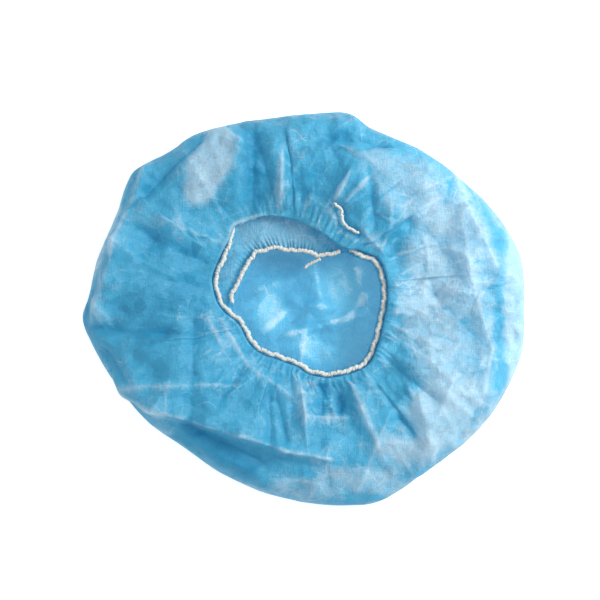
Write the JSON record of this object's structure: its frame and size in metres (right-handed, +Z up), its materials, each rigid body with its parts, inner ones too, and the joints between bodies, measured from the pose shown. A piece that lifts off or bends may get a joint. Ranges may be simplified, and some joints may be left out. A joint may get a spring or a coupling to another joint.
{
  "type": "disposable hairnet",
  "caption": "Disposable bouffant cap of thin blue non-woven cloth, gathered by a white elastic, lying crown down with its mouth up.",
  "frame": {"origin": "middle of the cap's outline, on the surface that the crown rests on", "axes": "+X along the wider side of the cap, +Y across it towards the folded lip of the mouth, +Z up, out of the mouth"},
  "size_m": [0.2901, 0.2584, 0.0444],
  "materials": {
    "non_woven_cloth": "thin matt non-woven cloth, slightly see-through",
    "elastic": "soft covered elastic"
  },
  "bodies": {
    "root": {"cap_body": "non_woven_cloth", "hem_elastic": "elastic", "inner_elastic": "elastic", "top_tail": "elastic", "inner_tail": "elastic"}
  },
  "joints": []
}
